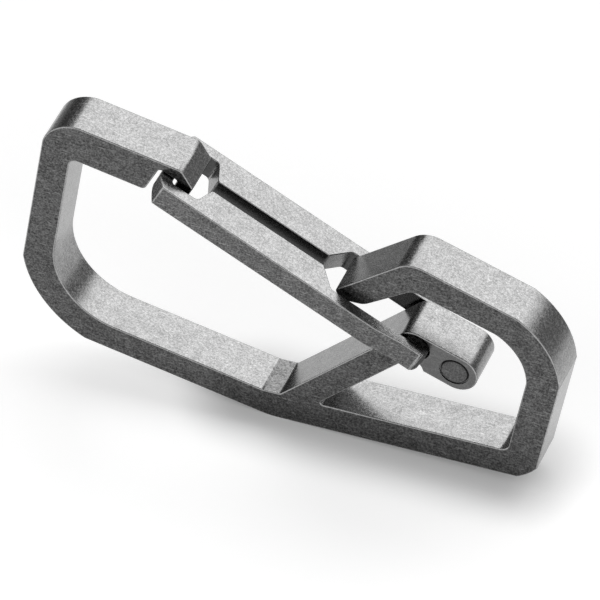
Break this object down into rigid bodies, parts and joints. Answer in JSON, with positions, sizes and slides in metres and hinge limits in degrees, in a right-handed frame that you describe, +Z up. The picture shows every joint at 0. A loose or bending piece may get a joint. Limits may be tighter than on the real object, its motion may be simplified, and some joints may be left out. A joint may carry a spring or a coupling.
{
  "type": "double loop plate carabiner",
  "caption": "Flat plate carabiner with a large and a small loop, opened together by one forked, sprung swing gate with a hooked nose.",
  "frame": {"origin": "middle of the part's bounding box at its foot, on the plate's mid plane", "axes": "+Z up as the part stands on its heel, +X along its length from the big loop to the small one, +Y through the plate's depth"},
  "size_m": [0.0582, 0.0084, 0.0323],
  "materials": {
    "plate_metal": "tumbled grey titanium",
    "gate_metal": "tumbled grey titanium",
    "pin_metal": "tumbled steel",
    "spring_wire": "drawn spring wire"
  },
  "bodies": {
    "frame": {"frame": "plate_metal", "spring_post": "pin_metal", "post_cap": "pin_metal", "gate_spring": "spring_wire"},
    "gate": {"gate": "gate_metal", "pivot_pin": "pin_metal"}
  },
  "joints": [
    {"name": "gate_hinge", "type": "hinge", "parent": "frame", "child": "gate", "pos_m": [0.01368, 0, 0.01519], "axis": [0, -1, 0], "range_deg": [0, 38], "stiffness_Nm_per_rad": 0.03, "springref_deg": -20.05}
  ]
}
